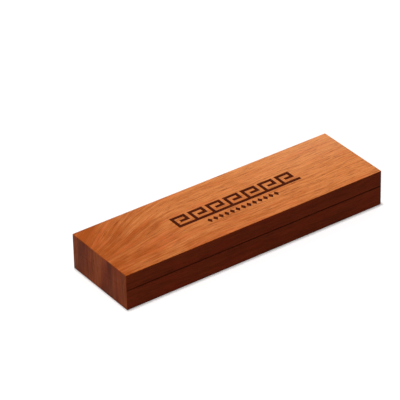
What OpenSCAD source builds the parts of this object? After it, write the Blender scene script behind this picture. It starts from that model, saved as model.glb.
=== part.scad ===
// Slim wooden presentation case with a hinged lid and a fitted, fabric-covered interior.
// Six mitred boards are glued up as a closed box, which is then sawn through at the seam,
// so the lid and the base are one matched pair. Millimetres, +Z up, the front faces -Y.
// The origin is the centre of the underside.

/* [Case] */
// Length of the closed case, along X
case_l = 175; // [165:1:230]
// Width of the closed case, front to back
case_w = 52; // [50:1:80]
// Height of the closed case
case_h = 22.5; // [22:0.5:32]
// Height of the lid, from the seam to the top
lid_h = 9.9; // [9.5:0.1:10.3]
// Thickness of the four side boards
wall_t = 5.5; // [5.2:0.1:7]
// Thickness of the top and bottom boards
panel_t = 3.5; // [3:0.1:4]
// Radius of the softened outer edges
edge_r = 0.4; // [0.2:0.05:1]

/* [Seam] */
// Gap between the two closed rims
rim_gap = 0.1; // [0.06:0.02:0.3]
// Height of the rebate along each long rim, above and below the seam, for its shadow line
shadow_h = 0.3; // [0.1:0.05:0.4]
// Depth of those rebates
shadow_d = 0.6; // [0.3:0.1:0.8]

/* [Hinges] */
// Distance of each hinge's middle from its end of the case
hinge_inset = 35.5; // [18:0.5:55]
// Length of a hinge along its pin
hinge_l = 20; // [18:1:26]
// Thickness of a hinge leaf
leaf_t = 1.1; // [0.9:0.1:1.4]
// Width of a hinge leaf on the rim
leaf_w = 4.2; // [3.6:0.1:4.6]
// Radius of the hinge pin
pin_r = 0.6; // [0.5:0.05:0.7]
// Running clearance round the pin
pin_clear = 0.04; // [0.02:0.01:0.06]
// Radius of the pin's peened ends
peen_r = 0.95; // [0.8:0.05:1.2]
// Thickness of the pin's peened ends
peen_t = 0.3; // [0.2:0.1:0.5]
// Wall of a knuckle round the pin's bore
knuckle_wall = 0.66; // [0.5:0.02:0.9]
// Length of the lid's middle knuckle
middle_knuckle_l = 8; // [6:0.5:10]
// Gap between neighbouring knuckles
knuckle_gap = 0.1; // [0.05:0.05:0.3]
// Opening angle at which the heel meets the base leaf
stop_angle = 100; // [95:1:110]
// Gap left between the heel and the base leaf at that angle
stop_gap = 0.05; // [0.03:0.01:0.1]
// Play between a leaf and the ends and inner side of its mortise
mortise_play = 0.1; // [0.05:0.05:0.2]

/* [Screws] */
// Distance between the two screws of a leaf
screw_pitch = 13; // [10:0.5:14]
// Radius of a screw's shank
shank_r = 0.55; // [0.45:0.05:0.65]
// Radius of a screw's countersunk head
head_r = 1.15; // [1:0.05:1.3]
// Height of a screw's head
head_h = 0.6; // [0.4:0.05:0.8]
// Length of a screw, from the top of its head to its tip
screw_l = 5; // [4:0.5:5.5]
// Width of the slot in a screw's head
slot_w = 0.3; // [0.2:0.05:0.4]
// Depth of the slot in a screw's head
slot_d = 0.3; // [0.2:0.05:0.35]
// Clearance round a screw
screw_clear = 0.03; // [0.02:0.01:0.06]

/* [Magnets] */
// Distance of each magnet's middle from its end of the case
magnet_inset = 16.5; // [10:0.5:60]
// Radius of a magnet
magnet_r = 1.5; // [1:0.1:1.8]
// Thickness of a magnet
magnet_t = 2; // [1.5:0.1:2.5]
// Clearance round a magnet, and its depth below the rim
magnet_clear = 0.05; // [0.03:0.01:0.1]

/* [Insert] */
// Gap between the linings and the side boards
lining_gap = 0.3; // [0.2:0.05:0.5]
// Depth of the insert's top below the base's rim
insert_drop = 1.2; // [0.6:0.1:1.4]
// Thickness of the insert's fabric cover
cover_t = 0.5; // [0.3:0.05:0.6]
// Radius of the trough that holds the pen
trough_r = 6.3; // [5:0.1:6.6]
// Length of the trough, over its round ends
trough_l = 145; // [130:1:150]
// Length of the finger notch along the case
notch_l = 26; // [20:1:40]
// Width of the finger notch across the case
notch_w = 30; // [22:1:32]
// Depth of the finger notch
notch_d = 5; // [3:0.5:5.5]
// Corner radius of the finger notch
notch_r = 6; // [3:0.5:8]

/* [Lid lining] */
// Thickness of the card behind the lid's pad
card_t = 0.6; // [0.4:0.1:0.8]
// Thickness of the pad's foam
foam_t = 1; // [0.6:0.1:1.2]
// Thickness of the pad's satin
satin_t = 0.4; // [0.2:0.05:0.5]
// Corner radius of the pad
pad_r = 1.5; // [0.5:0.5:3]

/* [Hidden] */
$fn = 48;
over = 1; // how far a cutter runs past the face that it cuts

seam_z = case_h - lid_h;
base_rim_z = seam_z - rim_gap / 2;
lid_rim_z = seam_z + rim_gap / 2;
inner_l = case_l - 2 * wall_t;
inner_w = case_w - 2 * wall_t;
ceiling_z = case_h - panel_t;

bore_r = pin_r + pin_clear;
knuckle_r = bore_r + knuckle_wall;
axis_out = knuckle_r + stop_gap; // from the back face to the hinge's axis
hinge_y = case_w / 2 + axis_out;
outer_knuckle_l = (hinge_l - middle_knuckle_l) / 2 - knuckle_gap;
hinge_x = case_l / 2 - hinge_inset;
screw_y = -axis_out - leaf_w / 2;
tip_l = 2 * shank_r;
magnet_x = case_l / 2 - magnet_inset;
magnet_y = -case_w / 2 + wall_t / 2;

insert_l = inner_l - 2 * lining_gap;
insert_w = inner_w - 2 * lining_gap;
insert_top_z = base_rim_z - insert_drop;

// ---- Shared shapes ----

// Rectangle a by b with round corners of radius r, centred
module soft_rect(a, b, r) {
    square([a - 2 * r, b], center = true);
    square([a, b - 2 * r], center = true);
    for (x = [-1, 1], y = [-1, 1])
        translate([x * (a / 2 - r), y * (b / 2 - r)]) circle(r);
}

// Outline of a board cut through its thickness t: the outer side is a long, and the mitres take
// inset off each end of the inner side
module mitre_outline(a, inset, t) {
    polygon([[-a / 2, 0], [a / 2, 0], [a / 2 - inset, t], [-a / 2 + inset, t]]);
}

// Board with its outer face, a by b, on the XY plane, and its four edges mitred
module mitred_board(a, b, inset_a, inset_b, t) {
    intersection() {
        rotate([90, 0, 0]) linear_extrude(b, center = true) mitre_outline(a, inset_a, t);
        rotate([90, 0, 90]) linear_extrude(a, center = true) mitre_outline(b, inset_b, t);
    }
}

// The closed case's outer form, with every edge softened
module case_form() {
    intersection() {
        linear_extrude(case_h) soft_rect(case_l, case_w, edge_r);
        translate([0, 0, case_h / 2]) rotate([90, 0, 0])
            linear_extrude(case_w, center = true) soft_rect(case_l, case_h, edge_r);
        translate([0, 0, case_h / 2]) rotate([90, 0, 90])
            linear_extrude(case_l, center = true) soft_rect(case_w, case_h, edge_r);
    }
}

// ---- The six boards of the closed box ----

module panel_board() mitred_board(case_l, case_w, wall_t, wall_t, panel_t);

module long_board() mitred_board(case_l, case_h, wall_t, panel_t, wall_t);

module end_board() mitred_board(case_h, case_w, panel_t, wall_t, wall_t);

module top_board() translate([0, 0, case_h]) rotate([180, 0, 0]) panel_board();

module front_board() translate([0, -case_w / 2, case_h / 2]) rotate([-90, 0, 0]) long_board();

module back_board() translate([0, case_w / 2, case_h / 2]) rotate([90, 0, 0]) long_board();

module left_board() translate([-case_l / 2, 0, case_h / 2]) rotate([0, 90, 0]) end_board();

module right_board() translate([case_l / 2, 0, case_h / 2]) rotate([0, -90, 0]) end_board();

// ---- The saw cut at the seam, and what is cut into the rims ----

module below_seam() {
    translate([-case_l / 2 - over, -case_w / 2 - over, -over])
        cube([case_l + 2 * over, case_w + 2 * over, base_rim_z + over]);
}

module above_seam() {
    translate([-case_l / 2 - over, -case_w / 2 - over, lid_rim_z])
        cube([case_l + 2 * over, case_w + 2 * over, lid_h + over]);
}

// Rebate along the long rim at height z, at the front, s = -1, or at the back, s = 1
module shadow_line(s, z) {
    translate([0, s * case_w / 2, z])
        cube([case_l + 2 * over, 2 * shadow_d, 2 * shadow_h], center = true);
}

// One half of a board of the closed box, softened outside. lid is true above the seam
module half_board(lid) {
    intersection() {
        children();
        case_form();
        if (lid) above_seam(); else below_seam();
    }
}

// Places children at both hinges, on the hinge's axis
module at_hinges() {
    for (s = [-1, 1]) translate([s * hinge_x, hinge_y, seam_z]) children();
}

// Places children at both screws of a leaf, with their heads at the rim's face
module at_screws() {
    for (s = [-1, 1]) translate([s * screw_pitch / 2, screw_y, -rim_gap / 2]) children();
}

// What one hinge takes out of the base's rim: the leaf's mortise and two pilot holes
module base_hinge_cut() {
    translate([-hinge_l / 2 - mortise_play, -axis_out - leaf_w - mortise_play, -rim_gap / 2 - leaf_t])
        cube([hinge_l + 2 * mortise_play, leaf_w + mortise_play + over, leaf_t + over]);
    at_screws() translate([0, 0, -screw_l]) cylinder(h = screw_l, r = shank_r + screw_clear);
}

module magnet_hole() cylinder(h = 2 * (magnet_t + magnet_clear), r = magnet_r + magnet_clear, center = true);

module magnet_holes(z) {
    for (s = [-1, 1]) translate([s * magnet_x, magnet_y, z]) magnet_hole();
}

// ---- Base ----

module base_bottom_board() color("sienna") half_board(false) panel_board();

module base_front_rail() color("saddlebrown") difference() {
    half_board(false) front_board();
    shadow_line(-1, base_rim_z);
    magnet_holes(base_rim_z);
}

module base_back_rail() color("saddlebrown") difference() {
    half_board(false) back_board();
    shadow_line(1, base_rim_z);
    at_hinges() base_hinge_cut();
}

module base_left_end() color("brown") half_board(false) left_board();

module base_right_end() color("brown") half_board(false) right_board();

// ---- Lid ----

module lid_top_board() color("peru") half_board(true) top_board();

module lid_front_rail() color("saddlebrown") difference() {
    half_board(true) front_board();
    shadow_line(-1, lid_rim_z);
    magnet_holes(lid_rim_z);
}

module lid_back_rail() color("saddlebrown") difference() {
    half_board(true) back_board();
    shadow_line(1, lid_rim_z);
    at_hinges() mirror([0, 0, 1]) base_hinge_cut();
}

module lid_left_end() color("brown") half_board(true) left_board();

module lid_right_end() color("brown") half_board(true) right_board();

// ---- Stop hinges ----
// Each lies with its axis on the X axis: the base leaf below the seam, the lid leaf above it.

// Knuckle of length l, with the web that joins it to its leaf below the seam
module knuckle(l) {
    rotate([0, 90, 0]) cylinder(h = l, r = knuckle_r, center = true);
    translate([-l / 2, -axis_out, -rim_gap / 2 - leaf_t]) cube([l, axis_out, leaf_t]);
}

// Flat leaf below the seam, without its knuckles
module leaf_plate() {
    translate([-hinge_l / 2, -axis_out - leaf_w, -rim_gap / 2 - leaf_t]) cube([hinge_l, leaf_w, leaf_t]);
}

module pin_bore() rotate([0, 90, 0]) cylinder(h = hinge_l + 2 * over, r = bore_r, center = true);

// Countersunk hole for a screw, with its mouth on the XY plane
module countersink() {
    translate([0, 0, -leaf_t - over]) cylinder(h = leaf_t + 2 * over, r = shank_r + screw_clear);
    translate([0, 0, -head_h]) cylinder(h = head_h, r1 = shank_r + screw_clear, r2 = head_r + screw_clear);
    cylinder(h = over, r = head_r + screw_clear);
}

// Square heel on the middle knuckle. Its flat lies against the base leaf's back edge at stop_angle
module heel() {
    flat = stop_angle - 180;
    corner_r = knuckle_r / cos(flat / 2);
    rotate([90, 0, 90]) linear_extrude(middle_knuckle_l, center = true)
        polygon([
            [0, 0],
            knuckle_r * [cos(flat), sin(flat)],
            corner_r * [cos(flat / 2), sin(flat / 2)],
            [knuckle_r, 0]
        ]);
}

module base_leaf() color("gold") difference() {
    union() {
        leaf_plate();
        for (s = [-1, 1])
            translate([s * (hinge_l - outer_knuckle_l) / 2, 0, 0]) knuckle(outer_knuckle_l);
    }
    pin_bore();
    at_screws() countersink();
}

module lid_leaf() color("gold") difference() {
    union() {
        mirror([0, 0, 1]) {
            leaf_plate();
            knuckle(middle_knuckle_l);
        }
        heel();
    }
    pin_bore();
    mirror([0, 0, 1]) at_screws() countersink();
}

// Pin whose ends are peened over the outer knuckles
module hinge_pin() color("goldenrod") rotate([0, 90, 0]) {
    cylinder(h = hinge_l, r = pin_r, center = true);
    for (s = [-1, 1]) translate([0, 0, s * (hinge_l + peen_t) / 2])
        cylinder(h = peen_t, r = peen_r, center = true);
}

// Countersunk wood screw with a slot, its head's top on the XY plane and its tip down
module wood_screw() {
    difference() {
        translate([0, 0, -head_h]) cylinder(h = head_h, r1 = shank_r, r2 = head_r);
        translate([-head_r - over, -slot_w / 2, -slot_d]) cube([2 * (head_r + over), slot_w, slot_d + over]);
    }
    translate([0, 0, tip_l - screw_l]) cylinder(h = screw_l - tip_l - head_h, r = shank_r);
    translate([0, 0, -screw_l]) cylinder(h = tip_l, r1 = shank_r / 5, r2 = shank_r);
}

module base_screws() color("khaki") at_screws() wood_screw();

module lid_screws() color("khaki") mirror([0, 0, 1]) at_screws() wood_screw();

// Places children at the left hinge, s = -1, or at the right one, s = 1
module at_hinge(s) translate([s * hinge_x, hinge_y, seam_z]) children();

// ---- Magnets ----

// Magnet at the left, s = -1, or right, sunk into the rim at height z. up is 1 in the lid, -1 in the base
module magnet(s, z, up) color("silver")
    translate([s * magnet_x, magnet_y, z + up * (magnet_t / 2 + magnet_clear)])
        cylinder(h = magnet_t, r = magnet_r, center = true);

// ---- Insert: a foam core under a fabric cover ----

// Space taken out of the insert, grown by skin for what lies under the cover
module insert_hollows(skin) {
    half = trough_l / 2 - trough_r;
    translate([0, 0, insert_top_z]) {
        rotate([0, 90, 0]) cylinder(h = 2 * half, r = trough_r + skin, center = true);
        for (s = [-1, 1]) translate([s * half, 0, 0]) sphere(trough_r + skin);
        translate([0, 0, -notch_d - skin]) linear_extrude(notch_d + skin + over)
            soft_rect(notch_l + 2 * skin, notch_w + 2 * skin, notch_r + skin);
    }
}

// The insert's block with its hollows, skin smaller on the sides and the top
module insert_form(skin) difference() {
    translate([0, 0, panel_t]) linear_extrude(insert_top_z - skin - panel_t)
        square([insert_l - 2 * skin, insert_w - 2 * skin], center = true);
    insert_hollows(skin);
}

module insert_core() color("dimgray") insert_form(cover_t);

module insert_cover() color("black") difference() {
    insert_form(0);
    insert_form_filled();
}

// What the core fills under the cover, run down past the floor
module insert_form_filled() difference() {
    translate([0, 0, panel_t - over]) linear_extrude(insert_top_z - cover_t - panel_t + over)
        square([insert_l - 2 * cover_t, insert_w - 2 * cover_t], center = true);
    insert_hollows(cover_t);
}

// ---- Lid lining: card, foam and satin ----

module pad_outline(inset) soft_rect(insert_l - 2 * inset, insert_w - 2 * inset, pad_r);

module lid_pad_card() color("wheat") translate([0, 0, ceiling_z - card_t])
    linear_extrude(card_t) pad_outline(satin_t);

module lid_pad_foam() color("whitesmoke") translate([0, 0, ceiling_z - card_t - foam_t])
    linear_extrude(foam_t) pad_outline(satin_t);

module lid_pad_satin() color("ivory") difference() {
    translate([0, 0, ceiling_z - card_t - foam_t - satin_t])
        linear_extrude(card_t + foam_t + satin_t) pad_outline(0);
    translate([0, 0, ceiling_z - card_t - foam_t])
        linear_extrude(card_t + foam_t + over) pad_outline(satin_t);
}

base_bottom_board();
base_front_rail();
base_back_rail();
base_left_end();
base_right_end();
lid_top_board();
lid_front_rail();
lid_back_rail();
lid_left_end();
lid_right_end();
at_hinge(-1) base_leaf();  // left_hinge_base_leaf
at_hinge(-1) lid_leaf();  // left_hinge_lid_leaf
at_hinge(-1) hinge_pin();  // left_hinge_pin
at_hinge(1) base_leaf();  // right_hinge_base_leaf
at_hinge(1) lid_leaf();  // right_hinge_lid_leaf
at_hinge(1) hinge_pin();  // right_hinge_pin
at_hinge(-1) base_screws();  // left_hinge_base_screws
at_hinge(-1) lid_screws();  // left_hinge_lid_screws
at_hinge(1) base_screws();  // right_hinge_base_screws
at_hinge(1) lid_screws();  // right_hinge_lid_screws
magnet(-1, base_rim_z, -1);  // base_magnet_left
magnet(1, base_rim_z, -1);  // base_magnet_right
magnet(-1, lid_rim_z, 1);  // lid_magnet_left
magnet(1, lid_rim_z, 1);  // lid_magnet_right
insert_core();
insert_cover();
lid_pad_card();
lid_pad_foam();
lid_pad_satin();
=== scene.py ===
# %% [markdown]
# # A slim wooden presentation case
#
# This lesson dresses a case that is already built as exact solids: six mitred boards, two brass
# stop hinges, magnets and flat linings. The solids fix every size and every moving piece. What
# is left for Blender is what the eye sees: figured, lacquered wood, brushed brass, velvet, a
# puffed satin pad and the ornament on the lid. One unit is one metre, and the case lies with the
# middle of its underside at the origin, its front towards -Y.

# %% Load the frame
import math

import bmesh
import bpy
from mathutils import Matrix, Vector, noise


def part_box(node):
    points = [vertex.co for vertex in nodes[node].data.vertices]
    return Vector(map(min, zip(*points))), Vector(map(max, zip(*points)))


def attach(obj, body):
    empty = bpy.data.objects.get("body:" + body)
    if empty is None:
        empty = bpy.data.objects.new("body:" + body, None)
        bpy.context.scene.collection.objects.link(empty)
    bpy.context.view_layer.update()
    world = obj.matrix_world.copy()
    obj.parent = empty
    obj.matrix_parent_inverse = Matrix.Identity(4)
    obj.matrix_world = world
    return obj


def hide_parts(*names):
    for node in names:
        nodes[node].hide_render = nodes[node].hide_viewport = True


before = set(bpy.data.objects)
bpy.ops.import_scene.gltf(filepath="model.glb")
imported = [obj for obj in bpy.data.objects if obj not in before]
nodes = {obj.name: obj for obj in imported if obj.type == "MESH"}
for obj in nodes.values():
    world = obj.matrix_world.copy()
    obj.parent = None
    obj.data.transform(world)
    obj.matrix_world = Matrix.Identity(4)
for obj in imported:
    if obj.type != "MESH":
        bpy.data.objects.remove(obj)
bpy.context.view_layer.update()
MM = 0.001

# %% [markdown]
# ## The camera
#
# A product shot of a small box is taken from well back with a long lens, so that its long edges
# stay almost parallel. The camera is placed by the two angles that it looks along, a small roll,
# and its distance. That is easier to read, and to change, than a matrix.

# %% Camera
VIEW_AZIMUTH, VIEW_ELEVATION, VIEW_ROLL = (math.radians(a) for a in (-34.958, 32.477, -1.335))
VIEW_DISTANCE = 1.5936
VIEW_SIDEWAYS, VIEW_UPWARDS = -0.01669, 0.01995
SENSOR_WIDTH, LENS = 36.0, 255.94


def camera_axes(azimuth, elevation, roll):
    """Right, up and backward directions of a camera that looks at the case."""
    back = Vector(
        (
            math.sin(azimuth) * math.cos(elevation),
            -math.cos(azimuth) * math.cos(elevation),
            math.sin(elevation),
        )
    )
    level = (-back).cross(Vector((0, 0, 1))).normalized()
    upright = level.cross(-back)
    right = level * math.cos(roll) + upright * math.sin(roll)
    up = upright * math.cos(roll) - level * math.sin(roll)
    return right, up, back


right, up, back = camera_axes(VIEW_AZIMUTH, VIEW_ELEVATION, VIEW_ROLL)
camera_data = bpy.data.cameras.new("camera")
camera_data.sensor_width, camera_data.lens = SENSOR_WIDTH, LENS
camera_data.clip_start, camera_data.clip_end = 0.1, 20
camera = bpy.data.objects.new("camera", camera_data)
place = back * VIEW_DISTANCE + right * VIEW_SIDEWAYS + up * VIEW_UPWARDS
camera.matrix_world = Matrix.Translation(place) @ Matrix((right, up, back)).transposed().to_4x4()
bpy.context.scene.collection.objects.link(camera)
bpy.context.scene.camera = camera
print("camera at", [round(v, 3) for v in place])

# %% [markdown]
# ## Small helpers for node trees
#
# Every finish here is procedural, so a short way to add a node and to join sockets saves many
# lines. A value given to `add` is either a socket, which is linked, or a plain value, which is
# written on the socket.


# %% Node helpers
def feed(tree, socket, value):
    """Links a socket, or writes a plain value on it."""
    if isinstance(value, bpy.types.NodeSocket):
        tree.links.new(value, socket)
    else:
        socket.default_value = value


def add(tree, kind, inputs=None, **settings):
    """Adds a node, sets its options, and feeds its inputs by name or number."""
    node = tree.nodes.new(kind)
    for key, value in settings.items():
        setattr(node, key, value)
    for key, value in (inputs or {}).items():
        feed(tree, node.inputs[key], value)
    return node


def calc(tree, operation, *values):
    """A Math node's result."""
    node = add(tree, "ShaderNodeMath", operation=operation)
    for socket, value in zip(node.inputs, values):
        feed(tree, socket, value)
    return node.outputs[0]


def remap(tree, value, low, high, to_low=0.0, to_high=1.0, smooth=True):
    """A value carried from one range to another, held inside it."""
    node = add(
        tree,
        "ShaderNodeMapRange",
        {"Value": value, "From Min": low, "From Max": high, "To Min": to_low, "To Max": to_high},
        clamp=True,
        interpolation_type="SMOOTHSTEP" if smooth else "LINEAR",
    )
    return node.outputs["Result"]


# A Mix node keeps sockets for each type of value. These are the ones for colours.
MIX_FACTOR, MIX_FIRST, MIX_SECOND, MIX_RESULT = 0, 6, 7, 2


def blend_colours(tree, factor, first, second):
    """A Mix node for colours."""
    inputs = {MIX_FACTOR: factor, MIX_FIRST: first, MIX_SECOND: second}
    return add(tree, "ShaderNodeMix", inputs, data_type="RGBA").outputs[MIX_RESULT]


# The part of a noise's range, which is 0 to 1, that most finishes spread over.
NOISE_LOW, NOISE_HIGH = 0.3, 0.7


def grain_noise(tree, vector, cells_per_mm, detail=2.0, roughness=0.5, distortion=0.0):
    """Noise squeezed or stretched along each axis of the board."""
    stretched = add(
        tree, "ShaderNodeVectorMath", {0: vector, 1: cells_per_mm}, operation="MULTIPLY"
    ).outputs[0]
    node = add(
        tree,
        "ShaderNodeTexNoise",
        {
            "Vector": stretched,
            "Scale": 1.0,
            "Detail": detail,
            "Roughness": roughness,
            "Distortion": distortion,
        },
    )
    return node.outputs["Fac"]


def bump_normal(tree, height, distance, strength):
    """A normal that shows a height as fine relief."""
    inputs = {"Height": height, "Distance": distance, "Strength": strength}
    return add(tree, "ShaderNodeBump", inputs).outputs[0]


print("node helpers ready")


# %% Colour and material helpers
def srgb(red, green, blue):
    """A colour as a painter's 0 to 255 mix, turned into the linear light that Blender wants."""

    def linear(v):
        v /= 255
        return v / 12.92 if v <= 0.04045 else ((v + 0.055) / 1.055) ** 2.4

    return (linear(red), linear(green), linear(blue), 1.0)


def new_material(name):
    """An empty node material with its output and its shader."""
    material = bpy.data.materials.new(name)
    material.use_nodes = True
    tree = material.node_tree
    tree.nodes.clear()
    shader = tree.nodes.new("ShaderNodeBsdfPrincipled")
    output = tree.nodes.new("ShaderNodeOutputMaterial")
    tree.links.new(shader.outputs[0], output.inputs["Surface"])
    return material, tree, shader


def board_coordinates(tree, rotation=(0.0, 0.0, 0.0), shift_mm=(0.0, 0.0, 0.0)):
    """Object coordinates in mm, turned so that X runs along the board's fibres."""
    where = tree.nodes.new("ShaderNodeTexCoord").outputs["Object"]
    in_mm = add(
        tree, "ShaderNodeMapping", {"Vector": where, "Scale": (1 / MM,) * 3}, vector_type="POINT"
    ).outputs[0]
    turned = add(
        tree,
        "ShaderNodeMapping",
        {"Vector": in_mm, "Rotation": rotation, "Location": shift_mm},
        vector_type="POINT",
    )
    return turned.outputs[0]


def dress(node_name, material):
    """Gives a CAD node one material, in place of the plain one it came with."""
    mesh = nodes[node_name].data
    mesh.materials.clear()
    mesh.materials.append(material)


print("a middle grey of 128 is", round(srgb(128, 128, 128)[0], 3), "in linear light")

# %% [markdown]
# ## How a board's figure comes about
#
# A board shows its tree's rings, cut lengthwise. Seen on its face they are soft bands of unequal
# width, with finer streaks and fibres inside them, and short dark flecks where the pores are cut
# open. An image of wood could be wrapped round each board, but each board would need its own,
# laid out so that it doesn't stretch at the mitres. Noise in the board's own coordinates needs no
# layout. One node group makes the figure from coordinates in which X runs along the fibres, so
# every board shares it, and only its colours, its bend and the strength of each layer differ.
# Real streaks are not sine waves, so each layer is a noise that is stretched along X.

# %% The layers of the figure
FIGURE_COLOURS = ("Pale", "Deep", "Pore", "Warm")
FIGURE_LAYERS = ("Mottle", "Bands", "Streaks", "Fibres", "Flecks")
# Each row: cells per mm along and across the fibres, the noise's detail and roughness, and the
# two values between which it counts.
FIGURE_NOISE = {
    "Mottle": (0.05, 0.075, 3.0, 0.55, 0.30, 0.70),
    "Bands": (0.007, 0.11, 2.0, 0.50, 0.32, 0.68),
    "Streaks": (0.022, 0.62, 3.0, 0.62, 0.30, 0.70),
    "Fibres": (0.085, 2.1, 3.0, 0.70, 0.30, 0.70),
    "Flecks": (0.12, 1.9, 2.0, 0.60, 0.54, 0.70),
    "Pores": (0.45, 6.5, 1.0, 0.40, 0.60, 0.72),
    "Blush": (0.03, 0.16, 2.0, 0.60, 0.46, 0.72),
}
WANDER_CELLS, WANDER_MM = (0.016, 0.045, 0.045), 7.0
BLUSH_STRENGTH, PORE_STRENGTH = 0.40, 0.35
PORE_DEPTH, FIBRE_HEIGHT = 0.6, 0.5
WOOD_ROUGHNESS = (0.40, 0.52)


def figure_layer(tree, board, name, to_low=0.0, to_high=1.0):
    """One layer of the figure: its plain noise, and the same noise carried to a range."""
    along, across, detail, roughness, low, high = FIGURE_NOISE[name]
    plain = grain_noise(tree, board, (along, across, across), detail, roughness)
    return plain, remap(tree, plain, low, high, to_low, to_high)


print("layers:", ", ".join(FIGURE_NOISE))


# %% The shared wood figure
def make_figure_group():
    """Node group: board coordinates in mm to a colour, a height and a roughness."""
    group = bpy.data.node_groups.new("wood_figure", "ShaderNodeTree")
    sockets = [("Along fibres", "INPUT", "NodeSocketVector")]
    sockets += [(name, "INPUT", "NodeSocketColor") for name in FIGURE_COLOURS]
    sockets += [(name, "INPUT", "NodeSocketFloat") for name in ("Shift",) + FIGURE_LAYERS]
    sockets += [("Color", "OUTPUT", "NodeSocketColor")]
    sockets += [(name, "OUTPUT", "NodeSocketFloat") for name in ("Height", "Roughness")]
    for name, side, kind in sockets:
        group.interface.new_socket(name, in_out=side, socket_type=kind)
    source = group.nodes.new("NodeGroupInput").outputs
    sink = group.nodes.new("NodeGroupOutput").inputs
    board = source["Along fibres"]

    # The fibres wander a little, so the streaks aren't ruled lines.
    wander = grain_noise(group, board, WANDER_CELLS)
    drift = calc(group, "MULTIPLY", calc(group, "SUBTRACT", wander, 0.5), WANDER_MM)
    offset = add(group, "ShaderNodeCombineXYZ", {"Y": drift}).outputs[0]
    board = add(group, "ShaderNodeVectorMath", {0: board, 1: offset}, operation="ADD").outputs[0]

    # Each layer swings evenly about nothing, so its strength doesn't change the board's mean.
    depth = calc(group, "ADD", source["Shift"], 0.5)
    plain = {}
    for name in ("Bands", "Streaks", "Fibres", "Mottle"):
        plain[name], swing = figure_layer(group, board, name, -0.5, 0.5)
        depth = calc(group, "MULTIPLY_ADD", swing, source[name], depth)
    depth = calc(group, "MINIMUM", calc(group, "MAXIMUM", depth, 0.0), 1.0)
    colour = blend_colours(group, depth, source["Pale"], source["Deep"])

    _, blush = figure_layer(group, board, "Blush", to_high=BLUSH_STRENGTH)
    colour = blend_colours(group, blush, colour, source["Warm"])
    _, flecks = figure_layer(group, board, "Flecks")
    flecks = calc(group, "MULTIPLY", flecks, source["Flecks"])
    colour = blend_colours(group, flecks, colour, source["Pore"])
    _, pores = figure_layer(group, board, "Pores")
    dark_pores = calc(group, "MULTIPLY", pores, PORE_STRENGTH)
    feed(group, sink["Color"], blend_colours(group, dark_pores, colour, source["Pore"]))

    ridges = calc(group, "MULTIPLY", plain["Fibres"], FIBRE_HEIGHT)
    feed(group, sink["Height"], calc(group, "MULTIPLY_ADD", pores, -PORE_DEPTH, ridges))
    gloss_spread = remap(
        group, plain["Streaks"], NOISE_LOW, NOISE_HIGH, *WOOD_ROUGHNESS, smooth=False
    )
    feed(group, sink["Roughness"], gloss_spread)
    return group


figure_group = make_figure_group()
print("wood figure:", len(figure_group.nodes), "nodes")

# %% Joining the figure to a board
WOOD_RELIEF, WOOD_BUMP = 0.02 * MM, 0.6


def finish_wood(tree, shader, board, colours, shift, layers, gloss, gloss_tint, wash=None):
    """Joins the shared figure to a board's shader.

    The colours and the layers' strengths are in the order of FIGURE_COLOURS and FIGURE_LAYERS.
    The shift makes the board paler or deeper. A wash is a mask and the colour that it lays over
    the figure.
    """
    figure = tree.nodes.new("ShaderNodeGroup")
    figure.node_tree = figure_group
    feed(tree, figure.inputs["Along fibres"], board)
    feed(tree, figure.inputs["Shift"], shift)
    for name, value in zip(FIGURE_COLOURS + FIGURE_LAYERS, colours + layers):
        feed(tree, figure.inputs[name], value)
    colour = figure.outputs["Color"]
    if wash:
        mask, wash_colour = wash
        colour = blend_colours(tree, mask, colour, wash_colour)
    feed(tree, shader.inputs["Base Color"], colour)
    feed(tree, shader.inputs["Roughness"], figure.outputs["Roughness"])
    relief = bump_normal(tree, figure.outputs["Height"], WOOD_RELIEF, WOOD_BUMP)
    feed(tree, shader.inputs["Normal"], relief)
    shader.inputs["Specular IOR Level"].default_value = gloss
    shader.inputs["Specular Tint"].default_value = gloss_tint


print("the figure's inputs:", ", ".join(FIGURE_COLOURS + FIGURE_LAYERS))

# %% [markdown]
# ## The lid's board, with its swirl
#
# The lid is the piece that is looked at, and its figure has a swirl near one end: in the far left
# corner the fibres sweep up from the end towards the back edge, and along the front they stay
# straight. Coordinates do that without any image. The board's Y is pushed by the square of the
# distance from where the swirl starts, which bends straight fibres into arcs, and the push fades
# towards the front. The board is also darker and redder towards that end and paler towards the
# other. The far right corner is the palest, as it also carries a painted sheen: a pale wash that
# stands in for the lacquer's reflection there.

# %% The lid's wood
HALF_WIDTH = -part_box("base_front_rail")[0].y / MM
# In mm: where the swirl starts, the radius of its arcs, and between which Y it grows.
SWIRL_START, SWIRL_RADIUS, SWIRL_FRONT, SWIRL_REAR = -14.0, 82.0, -24.0, 12.0
SWIRL_IN_FRONT = 0.12
LID_COLOURS = (srgb(235, 149, 84), srgb(162, 74, 14), srgb(106, 44, 14), srgb(210, 106, 52))
# The colour of the painted sheen on the lid's far right corner.
LID_PAINTED_SHEEN = srgb(232, 178, 138)
LID_STREAKS, LID_FIBRES = 0.25, 0.42
LID_GLOSS, LID_GLOSS_TINT = 0.10, srgb(226, 150, 84)


def swirl(tree, board):
    """Bends the fibres left of the swirl's start in arcs, little in front and fully at the rear."""
    parts = add(tree, "ShaderNodeSeparateXYZ", {0: board}).outputs
    left = calc(tree, "MAXIMUM", calc(tree, "SUBTRACT", SWIRL_START, parts["X"]), 0.0)
    arc = calc(tree, "DIVIDE", calc(tree, "MULTIPLY", left, left), 2 * SWIRL_RADIUS)
    share = remap(tree, parts["Y"], SWIRL_FRONT, SWIRL_REAR, SWIRL_IN_FRONT)
    bent_y = calc(tree, "ADD", parts["Y"], calc(tree, "MULTIPLY", arc, share))
    bent = add(
        tree, "ShaderNodeCombineXYZ", {"X": parts["X"], "Y": bent_y, "Z": parts["Z"]}
    ).outputs[0]
    return bent, parts


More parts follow.
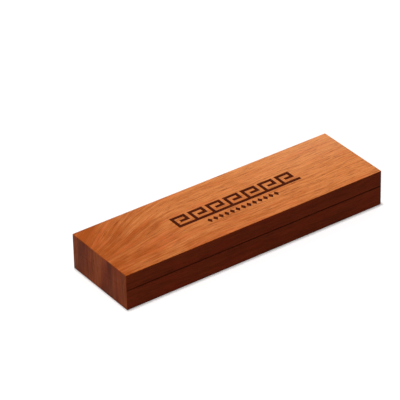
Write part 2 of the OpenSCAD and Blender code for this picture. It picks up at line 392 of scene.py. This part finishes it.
def make_lid_wood():
    """Every gradient below runs between two places on the board, in mm, and two values."""
    material, tree, shader = new_material("lacquered_lid_wood")
    board, parts = swirl(tree, board_coordinates(tree))
    x, y = parts["X"], parts["Y"]
    swirl_end = remap(tree, x, -100.0, -16.0, 0.52, -0.03)
    swirl_depth = remap(tree, y, -HALF_WIDTH, HALF_WIDTH, 0.62, 1.03, smooth=False)
    far_end = remap(tree, x, -30.0, 85.0, 0.02, -0.20)
    front = remap(tree, y, -HALF_WIDTH, HALF_WIDTH, 0.20, 0.0, smooth=False)
    shift = calc(tree, "MULTIPLY_ADD", swirl_end, swirl_depth, calc(tree, "ADD", far_end, front))
    mottle = remap(tree, x, -80.0, 20.0, 0.32, 0.10)
    bands = remap(tree, x, -60.0, 30.0, 0.20, 0.10)
    flecks = remap(tree, x, -30.0, 60.0, 0.54, 0.70)
    # Painted sheen: towards the far right end and the back, a pale wash stands in for the lacquer's
    # reflection.
    sheen_to_far_end = remap(tree, x, 0.0, 85.0, 0.0, 0.13)
    paler = calc(tree, "MULTIPLY", sheen_to_far_end, remap(tree, y, -12.0, 22.0))
    layers = (mottle, bands, LID_STREAKS, LID_FIBRES, flecks)
    finish_wood(
        tree, shader, board, LID_COLOURS, shift, layers, LID_GLOSS, LID_GLOSS_TINT,
        (paler, LID_PAINTED_SHEEN),
    )
    return material


lid_wood = make_lid_wood()
print("lid's wood:", len(lid_wood.node_tree.nodes), "nodes")

# %% [markdown]
# ## The long sides and their seam
#
# The long sides' colours are darker than the lid's, partly as a darker board and partly as painted
# shade; their fibres run quieter along their length. The case was glued up shut and sawn open at
# the seam, which has a small rebate. The rebate is real geometry, but its shadow line is deepened
# with painted shade: a mask lays a dark colour over the fraction of a millimetre on either side of
# the seam.

# %% The sides' wood
SEAM_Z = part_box("base_front_rail")[1].z / MM
# In mm: how far from the seam the painted shade is full and where it ends, how deep the rebate is,
# and how far behind it the painted shade fades.
SEAM_FULL, SEAM_END, REBATE_DEPTH, REBATE_FADE = 0.22, 0.50, 0.6, 0.3
SEAM_SHADE, SEAM_SHADE_STRENGTH = srgb(26, 8, 4), 0.50
# The sides' colours are darker than the lid's, partly as a darker board and partly as painted
# shade.
SIDE_SHADED_COLOURS = (srgb(127, 49, 22), srgb(80, 28, 12), srgb(40, 11, 5), srgb(119, 33, 17))
SIDE_LAYERS = (0.16, 0.12, 0.26, 0.38, 0.42)
SIDE_GLOSS, SIDE_GLOSS_TINT = 0.03, srgb(150, 60, 34)


def painted_seam_shade(tree):
    """A mask of painted shade in the seam's rebate, which leaves the flat rims out."""
    parts = add(tree, "ShaderNodeSeparateXYZ", {0: board_coordinates(tree)}).outputs
    away = calc(tree, "ABSOLUTE", calc(tree, "SUBTRACT", parts["Z"], SEAM_Z))
    near_seam = remap(tree, away, SEAM_FULL, SEAM_END, SEAM_SHADE_STRENGTH, 0.0)
    outward = calc(tree, "ABSOLUTE", parts["Y"])
    rebate_back = HALF_WIDTH - REBATE_DEPTH
    in_rebate = remap(tree, outward, rebate_back - REBATE_FADE, rebate_back)
    return calc(tree, "MULTIPLY", near_seam, in_rebate)


def make_side_wood():
    """Fibres along the case, turned so that the board's face is upright."""
    material, tree, shader = new_material("lacquered_side_wood")
    board = board_coordinates(tree, rotation=(math.radians(90), 0, 0), shift_mm=(31, 12, 57))
    finish_wood(
        tree, shader, board, SIDE_SHADED_COLOURS, 0.0, SIDE_LAYERS, SIDE_GLOSS, SIDE_GLOSS_TINT,
        (painted_seam_shade(tree), SEAM_SHADE),
    )
    return material


side_wood = make_side_wood()
print("seam at", round(SEAM_Z, 2), "mm; half the case's width is", round(HALF_WIDTH, 2), "mm")

# %% [markdown]
# ## The ends and the bottom
#
# The two ends are short boards whose fibres stand up. Their figure is bolder: a dark band leans
# a little to the front, a pale one stands behind it, and the back corner is dark again. Noise
# alone would put its bands anywhere, so these three are given one by one, and make up the shift.
# The bottom is seldom seen, and is a plain board of the lid's kind.

# %% The ends' and the bottom's wood
END_LEAN = 0.3
# Each band of an end: its middle and its reach in mm, and how much deeper the wood is there.
END_BANDS = ((-4.0, 5.5, 0.52), (5.5, 8.0, -0.50), (21.0, 8.0, 0.45))
# The ends' colours are darker than the lid's, partly as their own wood and partly as painted shade.
END_SHADED_COLOURS = (srgb(172, 85, 44), srgb(110, 46, 23), srgb(66, 25, 13), srgb(159, 62, 32))
END_LAYERS = (0.30, 0.26, 0.52, 0.66, 0.55)
END_GLOSS, END_GLOSS_TINT = 0.03, srgb(190, 110, 74)
BOTTOM_COLOURS = (srgb(206, 122, 70), srgb(148, 72, 32), srgb(92, 44, 24), srgb(190, 96, 52))
BOTTOM_LAYERS = (0.16, 0.34, 0.40, 0.36, 0.36)
BOTTOM_GLOSS, BOTTOM_GLOSS_TINT = 0.10, srgb(200, 120, 70)


def band(tree, value, middle, reach, strength):
    """A soft band: full strength where the value is at the middle, nothing past its reach."""
    away = calc(tree, "ABSOLUTE", calc(tree, "SUBTRACT", value, middle))
    return remap(tree, away, 0.0, reach, strength, 0.0)


def make_end_wood():
    material, tree, shader = new_material("lacquered_end_wood")
    board = board_coordinates(tree, rotation=(0, math.radians(90), 0), shift_mm=(11, 3, 140))
    parts = add(tree, "ShaderNodeSeparateXYZ", {0: board_coordinates(tree)}).outputs
    leaning = calc(tree, "MULTIPLY_ADD", parts["Z"], END_LEAN, parts["Y"])
    front, middle, rear = (band(tree, leaning, *numbers) for numbers in END_BANDS)
    shift = calc(tree, "ADD", calc(tree, "ADD", front, middle), rear)
    finish_wood(
        tree, shader, board, END_SHADED_COLOURS, shift, END_LAYERS, END_GLOSS, END_GLOSS_TINT
    )
    return material


def make_bottom_wood():
    material, tree, shader = new_material("lacquered_bottom_wood")
    board = board_coordinates(tree, shift_mm=(73, 40, 19))
    finish_wood(
        tree, shader, board, BOTTOM_COLOURS, 0.0, BOTTOM_LAYERS, BOTTOM_GLOSS, BOTTOM_GLOSS_TINT
    )
    return material


WOODS = {
    "top_board": lid_wood,
    "bottom_board": make_bottom_wood(),
    "rail": side_wood,
    "end": make_end_wood(),
}
for name in nodes:
    for ending, material in WOODS.items():
        if name.endswith(ending) and name.split("_")[0] in ("base", "lid"):
            dress(name, material)
            print("wood:", name, "->", material.name)

# %% [markdown]
# ## Brass and nickel
#
# Small hinges are stamped from sheet brass and tumbled, so they are satin and never quite clean:
# a little darker where air has worked on them, with fine scratches along their length. One
# function makes every metal here, because only colour, roughness and the size of the dull
# patches differ. The magnets are nickel plated.

# %% Metal materials
SCRATCH_CELLS = (0.6, 9.0, 9.0)
SCRATCH_DEPTH, SCRATCH_BUMP = 0.004 * MM, 0.5
METAL_SMOOTHER, METAL_ROUGHER = 0.06, 0.08


def make_metal(name, bright, dull, roughness, patches_per_mm=0.9):
    material, tree, shader = new_material(name)
    board = board_coordinates(tree)
    tarnish = grain_noise(tree, board, (patches_per_mm,) * 3, 4.0, 0.6)
    scratches = grain_noise(tree, board, SCRATCH_CELLS)
    colour = blend_colours(tree, remap(tree, tarnish, 0.35, 0.75), bright, dull)
    feed(tree, shader.inputs["Base Color"], colour)
    smoothest, roughest = roughness - METAL_SMOOTHER, roughness + METAL_ROUGHER
    spread = remap(tree, scratches, NOISE_LOW, NOISE_HIGH, smoothest, roughest, smooth=False)
    feed(tree, shader.inputs["Roughness"], spread)
    feed(tree, shader.inputs["Normal"], bump_normal(tree, scratches, SCRATCH_DEPTH, SCRATCH_BUMP))
    shader.inputs["Metallic"].default_value = 1.0
    return material


hinge_brass = make_metal("satin_brass", srgb(224, 192, 128), srgb(202, 166, 102), 0.34, 0.35)
screw_brass = make_metal("bright_brass", srgb(238, 214, 156), srgb(218, 188, 126), 0.22)
nickel = make_metal("nickel_plate", srgb(214, 212, 208), srgb(176, 174, 170), 0.22)
for name in nodes:
    if name.endswith("leaf") or name.endswith("pin"):
        dress(name, hinge_brass)
    elif name.endswith("screws"):
        dress(name, screw_brass)
    elif "magnet" in name:
        dress(name, nickel)
print("metals:", hinge_brass.name, screw_brass.name, nickel.name)

# %% [markdown]
# ## Fabric, foam and card
#
# Velvet is a dense short pile. It looks darkest where it is seen straight on and pale at grazing
# angles, which is what sheen does, and it keeps the marks of the hand that brushed it. Hairs could
# be grown on it, but they would have to be made into a very heavy mesh, so a shader with sheen and
# a fine bump stands for them. Satin is a smooth weave whose long floats shine along one direction.
# Foam and card lie behind the fabrics and are seen only as thin edges.

# %% Velvet and satin
BRUSH_CELLS, PILE_CELLS = (0.045, 0.16, 0.16), (4.2, 4.2, 4.2)
PILE_RELIEF, PILE_BUMP = 0.16 * MM, 0.8
FLOAT_CELLS, RIPPLE_CELLS = (1.1, 9.0, 9.0), (0.05, 0.09, 0.09)
FLOAT_RELIEF, FLOAT_BUMP = 0.015 * MM, 0.6
SATIN_ROUGHNESS = (0.34, 0.46)


def make_velvet():
    material, tree, shader = new_material("charcoal_velvet")
    board = board_coordinates(tree)
    brushed = grain_noise(tree, board, BRUSH_CELLS, 3.0, 0.55, 0.6)
    pile = grain_noise(tree, board, PILE_CELLS, 3.0, 0.7)
    brushed = remap(tree, brushed, 0.34, 0.70)
    colour = blend_colours(tree, brushed, srgb(36, 35, 38), srgb(54, 52, 56))
    # Painted shade: the pile is darker between its hairs.
    shade_between_hairs = remap(tree, pile, 0.35, 0.65, 0.0, 0.70)
    colour = blend_colours(tree, shade_between_hairs, colour, srgb(14, 14, 16))
    feed(tree, shader.inputs["Base Color"], colour)
    feed(tree, shader.inputs["Normal"], bump_normal(tree, pile, PILE_RELIEF, PILE_BUMP))
    shader.inputs["Roughness"].default_value = 0.95
    shader.inputs["Specular IOR Level"].default_value = 0.1
    shader.inputs["Sheen Weight"].default_value = 0.7
    shader.inputs["Sheen Roughness"].default_value = 0.35
    shader.inputs["Sheen Tint"].default_value = srgb(196, 194, 204)
    return material


def make_satin():
    material, tree, shader = new_material("ivory_satin")
    board = board_coordinates(tree)
    floats = grain_noise(tree, board, FLOAT_CELLS)
    ripple_shade = grain_noise(tree, board, RIPPLE_CELLS)
    weave = remap(tree, floats, NOISE_LOW, NOISE_HIGH)
    colour = blend_colours(tree, weave, srgb(244, 237, 219), srgb(233, 223, 199))
    # Painted shade of shallow ripples: a darker beige laid over broad patches of the satin.
    ripple_shade = remap(tree, ripple_shade, 0.4, 0.7, 0.0, 0.25)
    colour = blend_colours(tree, ripple_shade, colour, srgb(220, 206, 178))
    feed(tree, shader.inputs["Base Color"], colour)
    gloss_spread = remap(tree, floats, NOISE_LOW, NOISE_HIGH, *SATIN_ROUGHNESS)
    feed(tree, shader.inputs["Roughness"], gloss_spread)
    feed(tree, shader.inputs["Normal"], bump_normal(tree, floats, FLOAT_RELIEF, FLOAT_BUMP))
    shader.inputs["Specular IOR Level"].default_value = 0.7
    shader.inputs["Anisotropic"].default_value = 0.5
    shader.inputs["Sheen Weight"].default_value = 0.15
    shader.inputs["Sheen Roughness"].default_value = 0.3
    return material


velvet = make_velvet()
satin = make_satin()
print("fabrics:", velvet.name, satin.name)

# %% Foam, card and wadding
CELL_RELIEF, CELL_BUMP = 0.08 * MM, 0.6


def make_plain_soft(name, pale, deep, cells_per_mm):
    material, tree, shader = new_material(name)
    board = board_coordinates(tree)
    cell = grain_noise(tree, board, (cells_per_mm,) * 3, 3.0, 0.6)
    colour = blend_colours(tree, remap(tree, cell, 0.35, 0.65), pale, deep)
    feed(tree, shader.inputs["Base Color"], colour)
    feed(tree, shader.inputs["Normal"], bump_normal(tree, cell, CELL_RELIEF, CELL_BUMP))
    shader.inputs["Roughness"].default_value = 0.9
    return material


for name, finish, pale, deep, cells_per_mm in (
    ("insert_core", "tray_foam", srgb(58, 58, 62), srgb(38, 38, 42), 2.5),
    ("lid_pad_card", "lining_card", srgb(208, 196, 168), srgb(190, 176, 146), 1.6),
    ("lid_pad_foam", "pad_wadding", srgb(236, 234, 228), srgb(220, 217, 208), 1.2),
):
    dress(name, make_plain_soft(finish, pale, deep, cells_per_mm))
    print(name, "->", finish)

# %% [markdown]
# ## The tray's velvet
#
# The tray is foam with its trough and finger notch cut in, and velvet drawn over it. Fabric
# can't turn a sharp corner, so every lip is soft. A bevel would round the lips too, but it would
# leave the flat parts as a few large faces, which can't ruck as cloth does. So a copy of the
# foam's own solid is remeshed to even little squares, smoothed until the lips are round, and
# pushed out by the cloth's thickness and a slight ruck.


# %% Mesh helpers
def mesh_object(name, mesh):
    """A new object at the origin that shows a mesh."""
    piece = bpy.data.objects.new(name, mesh)
    bpy.context.scene.collection.objects.link(piece)
    return piece


def apply_modifiers(piece):
    """Turns what the modifiers make into the piece's own mesh, and removes them."""
    depsgraph = bpy.context.evaluated_depsgraph_get()
    made = bpy.data.meshes.new_from_object(
        piece.evaluated_get(depsgraph), preserve_all_data_layers=True, depsgraph=depsgraph
    )
    piece.modifiers.clear()
    spent = piece.data
    piece.data = made
    made.name = piece.name
    bpy.data.meshes.remove(spent)


def set_finish(piece, material):
    piece.data.materials.clear()
    piece.data.materials.append(material)
    for face in piece.data.polygons:
        face.use_smooth = True


print("mesh helpers ready")

# %% The velvet over the tray
VELVET_THICKNESS = 0.45 * MM
TRAY_CELL = 0.55 * MM
MERGE_DISTANCE = 1e-6
SOFTENING_PASSES, SOFTENING = 4, 0.5
RUCK_PITCH, RUCK_DEPTH = 6 * MM, 0.05 * MM
GAP_ABOVE_BOTTOM = 0.05 * MM


def make_tray_velvet():
    mesh = nodes["insert_core"].data.copy()
    shell = bmesh.new()
    shell.from_mesh(mesh)
    bmesh.ops.remove_doubles(shell, verts=shell.verts, dist=MERGE_DISTANCE)
    shell.to_mesh(mesh)
    shell.free()
    piece = mesh_object("tray_velvet", mesh)
    remesh = piece.modifiers.new("even_squares", "REMESH")
    remesh.mode, remesh.voxel_size = "VOXEL", TRAY_CELL
    apply_modifiers(piece)
    shell = bmesh.new()
    shell.from_mesh(piece.data)
    bmesh.ops.recalc_face_normals(shell, faces=shell.faces)
    for _ in range(SOFTENING_PASSES):
        bmesh.ops.smooth_vert(
            shell,
            verts=shell.verts,
            factor=SOFTENING,
            use_axis_x=True,
            use_axis_y=True,
            use_axis_z=True,
        )
    shell.normal_update()
    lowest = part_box("insert_core")[0].z + GAP_ABOVE_BOTTOM
    for vert in shell.verts:
        ruck = noise.noise(vert.co / RUCK_PITCH) * RUCK_DEPTH
        vert.co += vert.normal * (VELVET_THICKNESS + ruck)
        vert.co.z = max(vert.co.z, lowest)
    shell.to_mesh(piece.data)
    shell.free()
    set_finish(piece, velvet)
    return piece


tray_velvet = make_tray_velvet()
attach(tray_velvet, "case_base")
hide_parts("insert_cover")
print("tray velvet faces:", len(tray_velvet.data.polygons))

# %% [markdown]
# ## The lid's satin pad
#
# The pad is satin drawn over thin wadding and folded behind a card. It is crowned in the middle,
# held down all round, and puckered along its border, because a flat piece of cloth is gathered
# there. A formula could give the crown too, but a cloth simulation finds by itself how the sheet
# rises between its held edges. It starts from a closed flat slab on an even grid, whose border
# and back will be held.

# %% The pad's flat slab
PAD_LOW, PAD_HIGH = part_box("lid_pad_satin")
PAD_CELL = 0.95 * MM
PAD_FOLD = 0.5 * MM
PAD_BACK_GAP = 0.05 * MM
CORNER_TUCK = 0.3 * PAD_CELL


def pad_sheet(slab, count_x, count_y, z):
    """One sheet of the slab's points, row by row. Its corners are tucked in a little."""
    size = PAD_HIGH - PAD_LOW
    rows = []
    for j in range(count_y + 1):
        row = []
        for i in range(count_x + 1):
            x = PAD_LOW.x + size.x * i / count_x
            y = PAD_LOW.y + size.y * j / count_y
            if i in (0, count_x) and j in (0, count_y):
                x -= math.copysign(CORNER_TUCK, x)
                y -= math.copysign(CORNER_TUCK, y)
            row.append(slab.verts.new((x, y, z)))
        rows.append(row)
    return rows


def pad_slab():
    """The slab's mesh, and the points to hold: its border and its back. Its face looks down."""
    size = PAD_HIGH - PAD_LOW
    count_x, count_y = round(size.x / PAD_CELL), round(size.y / PAD_CELL)
    face_z, back_z = PAD_LOW.z + 0.5 * PAD_FOLD, PAD_HIGH.z - PAD_BACK_GAP
    slab = bmesh.new()
    face, rear = (pad_sheet(slab, count_x, count_y, z) for z in (face_z, back_z))
    for j in range(count_y):
        for i in range(count_x):
            slab.faces.new((face[j][i], face[j + 1][i], face[j + 1][i + 1], face[j][i + 1]))
            slab.faces.new((rear[j][i], rear[j][i + 1], rear[j + 1][i + 1], rear[j + 1][i]))
    ring = (
        [(0, i) for i in range(count_x)]
        + [(j, count_x) for j in range(count_y)]
        + [(count_y, i) for i in range(count_x, 0, -1)]
        + [(j, 0) for j in range(count_y, 0, -1)]
    )
    for (j, i), (k, m) in zip(ring, ring[1:] + ring[:1]):
        slab.faces.new((face[j][i], face[k][m], rear[k][m], rear[j][i]))
    bmesh.ops.recalc_face_normals(slab, faces=slab.faces)
    slab.verts.index_update()
    border = {face[j][i] for j, i in ring}
    held = [v.index for v in slab.verts if v in border or v.co.z > (face_z + back_z) / 2]
    mesh = bpy.data.meshes.new("lid_satin")
    slab.to_mesh(mesh)
    slab.free()
    return mesh, held


pad_mesh, pad_held = pad_slab()
print("pad slab:", len(pad_mesh.polygons), "squares,", len(pad_held), "points held")

# %% [markdown]
# ### Puffing it out
#
# The sheet gets a little more cloth than it needs, and pressure from behind puffs it out. Cloth
# is tuned for objects of about a metre, so the pad is simulated at fifty times its size and then
# shrunk. The wadding stops it from rising as far as the cloth alone would, so the rise is scaled
# down to what fits under the lid, the high parts more than the low ones.

# %% The cloth
PAD_SIM_SCALE = 50.0
PAD_FRAMES = 24
PAD_SPARE_CLOTH = -0.07
PAD_CROWN, PAD_FULLNESS = 2.6 * MM, 1.0


def puff(piece, held):
    """Runs the cloth on the piece at a workable size, and keeps its last frame."""
    flat = [v.co.copy() for v in piece.data.vertices]
    piece.data.transform(Matrix.Scale(PAD_SIM_SCALE, 4))
    group = piece.vertex_groups.new(name="held")
    group.add(held, 1.0, "REPLACE")
    cloth = piece.modifiers.new("puff", "CLOTH")
    settings = cloth.settings
    settings.vertex_group_mass = "held"
    settings.quality = 6
    settings.mass = 0.25
    settings.tension_stiffness = settings.compression_stiffness = 12
    settings.shear_stiffness = 6
    settings.bending_stiffness = 0.4
    settings.use_pressure = True
    settings.uniform_pressure_force = 3.0
    settings.shrink_min = PAD_SPARE_CLOTH
    settings.effector_weights.gravity = 0.0
    cloth.collision_settings.use_collision = False
    cloth.collision_settings.use_self_collision = False
    cloth.point_cache.frame_start, cloth.point_cache.frame_end = 1, PAD_FRAMES
    for step in range(1, PAD_FRAMES + 1):
        bpy.context.scene.frame_set(step)
    apply_modifiers(piece)
    bpy.context.scene.frame_set(1)
    piece.data.transform(Matrix.Scale(1 / PAD_SIM_SCALE, 4))
    piece.vertex_groups.clear()
    hold_down(piece, flat)


def hold_down(piece, flat):
    """Scales each point's rise, so that the highest one stands a crown's height off the slab."""
    moves = [vert.co - start for vert, start in zip(piece.data.vertices, flat)]
    most = max(move.length for move in moves)
    full = 1 - math.exp(-PAD_FULLNESS)
    for vert, start, move in zip(piece.data.vertices, flat, moves):
        if move.length > 0:
            share = (1 - math.exp(-PAD_FULLNESS * move.length / most)) / full
            vert.co = start + move.normalized() * PAD_CROWN * share


print("cloth:", PAD_FRAMES, "frames at", PAD_SIM_SCALE, "times its size")

# %% [markdown]
# ### Puckers, and the finished pad
#
# The puckers are finer than the sheet's squares can fold, so they are pressed in afterwards:
# short folds that start at the border, lie across it, and fade out over a few millimetres. One
# level of subdivision then rounds the squares off.

# %% The puckers and the finished pad
PUCKER_PITCH, PUCKER_REACH, PUCKER_DEPTH = 3.4 * MM, 6.5 * MM, 0.40 * MM
PUCKER_LENGTH, SWELL_PITCH, PUCKER_HEM = 9 * MM, 14 * MM, 0.8 * MM
PUCKER_SHARE, SWELL_SHARE = 1.4, 0.5
PUCKER_SEED, SWELL_SEED = 3.7, 9.1
PAD_BACK_DEPTH = 0.5 * MM


def press_puckers(piece):
    """Short folds that run in from the border. The middle and the border itself stay put."""
    middle = (PAD_LOW + PAD_HIGH) / 2
    half = (PAD_HIGH - PAD_LOW) / 2
    for vert in piece.data.vertices:
        if vert.co.z > PAD_HIGH.z - PAD_BACK_DEPTH:
            continue
        from_end = half.x - abs(vert.co.x - middle.x)
        from_side = half.y - abs(vert.co.y - middle.y)
        if from_end < from_side:
            inward, along = from_end, vert.co.y
        else:
            inward, along = from_side, vert.co.x
        where = Vector((along / PUCKER_PITCH * 2, inward / PUCKER_LENGTH, PUCKER_SEED))
        pucker = noise.noise(where)
        swell = noise.noise(Vector((along / SWELL_PITCH, 0.0, SWELL_SEED)))
        fade = math.exp(-inward / PUCKER_REACH) * min(1.0, inward / PUCKER_HEM)
        vert.co.z += PUCKER_DEPTH * (PUCKER_SHARE * pucker + SWELL_SHARE * swell) * fade


def make_lid_satin():
    piece = mesh_object("lid_satin", pad_mesh)
    puff(piece, pad_held)
    press_puckers(piece)
    round_off = piece.modifiers.new("round_off", "SUBSURF")
    round_off.levels = round_off.render_levels = 1
    apply_modifiers(piece)
    set_finish(piece, satin)
    return piece


lid_satin = make_lid_satin()
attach(lid_satin, "lid")
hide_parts("lid_pad_satin")
print("satin pad faces:", len(lid_satin.data.polygons))

# %% [markdown]
# ## The ornament on the lid
#
# The lid carries a dark printed ornament: a running key pattern, as old as pottery, and a shorter
# row of small lozenges under it. Each is one motif repeated along a line, which is what Geometry
# Nodes do best. The motif is drawn once, as the corners of its outline, and becomes a flake two
# hundredths of a millimetre thick, because print has no thickness to speak of. An extrusion would
# make the flake too, but the order in which Blender then lists its side faces can differ from run
# to run, so the faces are written out from two rings of points. The node tree then lays out a line
# of points, puts a copy on each, and makes the copies real.

# %% The motif
PRINT_THICKNESS = 0.02 * MM
LID_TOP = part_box("lid_top_board")[1].z
KEY_OUTLINE = (
    (0, 0), (6, 0), (6, 1), (1, 1), (1, 4), (4, 4), (4, 3), (2, 3), (2, 2), (5, 2), (5, 5), (0, 5),
)
LOZENGE_OUTLINE = ((0, 1), (1, 0), (2, 1), (1, 2))


def make_motif(name, outline, cell_mm):
    """A thin closed prism over an outline drawn in cells, with its first corner cell at X = 0."""
    across, along = cell_mm
    middle = (min(y for _, y in outline) + max(y for _, y in outline)) / 2
    shape = bmesh.new()
    bottom, top = (
        [shape.verts.new((x * across * MM, (y - middle) * along * MM, z)) for x, y in outline]
        for z in (LID_TOP, LID_TOP + PRINT_THICKNESS)
    )
    shape.faces.new(bottom)
    shape.faces.new(top)
    for i, j in zip(range(len(outline)), [*range(1, len(outline)), 0]):
        shape.faces.new((bottom[i], bottom[j], top[j], top[i]))
    bmesh.ops.recalc_face_normals(shape, faces=shape.faces)
    mesh = bpy.data.meshes.new(name)
    shape.to_mesh(mesh)
    shape.free()
    return mesh


print("key outline:", len(KEY_OUTLINE), "corners; lozenge:", len(LOZENGE_OUTLINE))

# %% The ink
INK_CELLS, INK_ROUGHNESS = (0.10, 2.2, 2.2), (0.45, 0.6)


def make_ink():
    """Dark print, a little worn along the wood's fibres."""
    material, tree, shader = new_material("dark_print")
    worn = grain_noise(tree, board_coordinates(tree), INK_CELLS, 3.0, 0.6)
    colour = blend_colours(tree, remap(tree, worn, 0.40, 0.75), srgb(62, 20, 6), srgb(92, 38, 14))
    feed(tree, shader.inputs["Base Color"], colour)
    gloss_spread = remap(tree, worn, NOISE_LOW, NOISE_HIGH, *INK_ROUGHNESS)
    feed(tree, shader.inputs["Roughness"], gloss_spread)
    shader.inputs["Specular IOR Level"].default_value = 0.01
    return material


ink = make_ink()
print("ink:", ink.name)


# %% The row of copies
def make_row_tree():
    """Geometry Nodes: copies of the piece's own mesh along a straight line, made real."""
    tree = bpy.data.node_groups.new("repeat_along_line", "GeometryNodeTree")
    tree.is_modifier = True
    tree.interface.new_socket("Geometry", in_out="INPUT", socket_type="NodeSocketGeometry")
    identifiers = {}
    for name, kind, value in (
        ("Count", "NodeSocketInt", 7),
        ("Pitch", "NodeSocketFloat", 12 * MM),
        ("Start", "NodeSocketVector", (0, 0, 0)),
    ):
        socket = tree.interface.new_socket(name, in_out="INPUT", socket_type=kind)
        socket.default_value = value
        identifiers[name] = socket.identifier
    tree.interface.new_socket("Geometry", in_out="OUTPUT", socket_type="NodeSocketGeometry")
    source = tree.nodes.new("NodeGroupInput").outputs
    sink = tree.nodes.new("NodeGroupOutput").inputs
    step = add(tree, "ShaderNodeCombineXYZ", {"X": source["Pitch"]})
    line = add(
        tree, "GeometryNodeMeshLine",
        {"Count": source["Count"], "Start Location": source["Start"], "Offset": step.outputs[0]},
        mode="OFFSET",
    )
    row = add(
        tree, "GeometryNodeInstanceOnPoints",
        {"Points": line.outputs[0], "Instance": source["Geometry"]},
    )
    real = add(tree, "GeometryNodeRealizeInstances", {"Geometry": row.outputs[0]})
    inked = add(tree, "GeometryNodeSetMaterial", {"Geometry": real.outputs[0], "Material": ink})
    tree.links.new(inked.outputs[0], sink[0])
    return tree, identifiers


row_tree, row_inputs = make_row_tree()
print("row tree's inputs:", row_inputs)


# %% The two rows
def ornament_row(name, outline, cell_mm, count, pitch, left, middle_y):
    """One row of the ornament, from X = left, about Y = middle_y. Sizes are in mm."""
    piece = mesh_object(name, make_motif(name, outline, cell_mm))
    modifier = piece.modifiers.new("row", "NODES")
    modifier.node_group = row_tree
    modifier[row_inputs["Count"]] = count
    modifier[row_inputs["Pitch"]] = pitch * MM
    modifier[row_inputs["Start"]] = (left * MM, middle_y * MM, 0)
    apply_modifiers(piece)
    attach(piece, "lid")
    print(name, "faces:", len(piece.data.polygons))


# Six cells of a key are a hair shorter than the pitch, so neighbours don't share a face.
ornament_row(
    "ornament_key_band", KEY_OUTLINE,
    cell_mm=(1.995, 2.12), count=7, pitch=12.0, left=-37.2, middle_y=0.25,
)
ornament_row(
    "ornament_lozenges", LOZENGE_OUTLINE,
    cell_mm=(1.5, 2.2), count=13, pitch=3.8, left=-21.0, middle_y=-8.9,
)

# %% [markdown]
# ## The floor and the world
#
# The case lies on a plain white floor. To the camera the floor is white up to its soft contact
# shadow, so part of its brightness is added for camera rays only, and none of that lights the
# case. More is added far from the case, where the lamp's light fades, so that the floor meets the
# white world without a line. The floor lies a hair below the case, so that the two planes never
# share a depth.

# %% Floor and world
FLOOR_SIZE, FLOOR_GAP = 6.0, 0.02 * MM
FLOOR_SHADE, FLOOR_BOUNCE = 0.93, 0.26
FLOOR_ADDED, FLOOR_FAR_ADDED = 0.18, 0.85
FADE_START, FADE_END = 0.35, 3.0
WORLD_FILL, WORLD_WHITE = 0.30, 1.0
WHITE = (1, 1, 1, 1)


def grey(level):
    return (level, level, level, 1)


def seen_directly(tree):
    """1 for what the camera sees itself, in a reflection or through glass, and 0 otherwise."""
    rays = tree.nodes.new("ShaderNodeLightPath").outputs
    seen = calc(tree, "MAXIMUM", rays["Is Camera Ray"], rays["Is Glossy Ray"])
    return calc(tree, "MAXIMUM", seen, rays["Is Transmission Ray"])


def make_floor():
    mesh = bpy.data.meshes.new("floor")
    half = FLOOR_SIZE / 2
    corners = ((-half, -half), (half, -half), (half, half), (-half, half))
    mesh.from_pydata([(x, y, -FLOOR_GAP) for x, y in corners], [], [(0, 1, 2, 3)])
    floor = mesh_object("floor", mesh)
    material = bpy.data.materials.new("white_floor")
    material.use_nodes = True
    tree = material.node_tree
    tree.nodes.clear()
    seen = seen_directly(tree)
    paint = blend_colours(tree, seen, grey(FLOOR_BOUNCE), grey(FLOOR_SHADE))
    diffuse = add(tree, "ShaderNodeBsdfDiffuse", {"Color": paint})
    where = tree.nodes.new("ShaderNodeTexCoord").outputs["Object"]
    away = add(tree, "ShaderNodeVectorMath", {0: where}, operation="LENGTH").outputs["Value"]
    added = remap(tree, away, FADE_START, FADE_END, FLOOR_ADDED, FLOOR_FAR_ADDED, smooth=False)
    strength = calc(tree, "MULTIPLY", seen, added)
    glow = add(tree, "ShaderNodeEmission", {"Color": WHITE, "Strength": strength})
    both = add(tree, "ShaderNodeAddShader", {0: diffuse.outputs[0], 1: glow.outputs[0]})
    output = tree.nodes.new("ShaderNodeOutputMaterial")
    tree.links.new(both.outputs[0], output.inputs["Surface"])
    mesh.materials.append(material)


def make_world():
    world = bpy.data.worlds.new("studio")
    world.use_nodes = True
    bpy.context.scene.world = world
    tree = world.node_tree
    tree.nodes.clear()
    seen = seen_directly(tree)
    strength = remap(tree, seen, 0.0, 1.0, WORLD_FILL, WORLD_WHITE, smooth=False)
    light = add(tree, "ShaderNodeBackground", {"Color": WHITE, "Strength": strength})
    output = tree.nodes.new("ShaderNodeOutputWorld")
    tree.links.new(light.outputs[0], output.inputs["Surface"])


make_floor()
make_world()
print("floor:", FLOOR_SIZE, "m across; world fill:", WORLD_FILL)

# %% [markdown]
# ## The lamps
#
# A soft lamp hangs high above and a little to the back. A weak one at the front left shows the open
# case's linings, a weaker one at the back right lights the sides that face away from the first, and
# the dim world fills the rest. The one at the back right would lay a pale veil on the lacquer, so
# it is left out of reflections.


# %% Lamps
def make_lamp(name, place, size, watts):
    """A round soft lamp that points at the case."""
    data = bpy.data.lights.new(name, "AREA")
    data.shape, data.size, data.energy = "DISK", size, watts
    lamp = bpy.data.objects.new(name, data)
    lamp.location = place
    lamp.rotation_euler = (-Vector(place)).to_track_quat("-Z", "Y").to_euler()
    bpy.context.scene.collection.objects.link(lamp)
    print(name, "lamp,", watts, "W")
    return lamp


make_lamp("key", place=(-0.06, 0.10, 2.40), size=0.24, watts=33.0)
make_lamp("front_left_fill", place=(-0.85, -0.90, 0.55), size=0.40, watts=4.6)
back_fill = make_lamp("back_right_fill", place=(0.95, 0.85, 0.50), size=0.50, watts=3.2)
back_fill.visible_glossy = False
bpy.context.scene.view_settings.view_transform = "Standard"
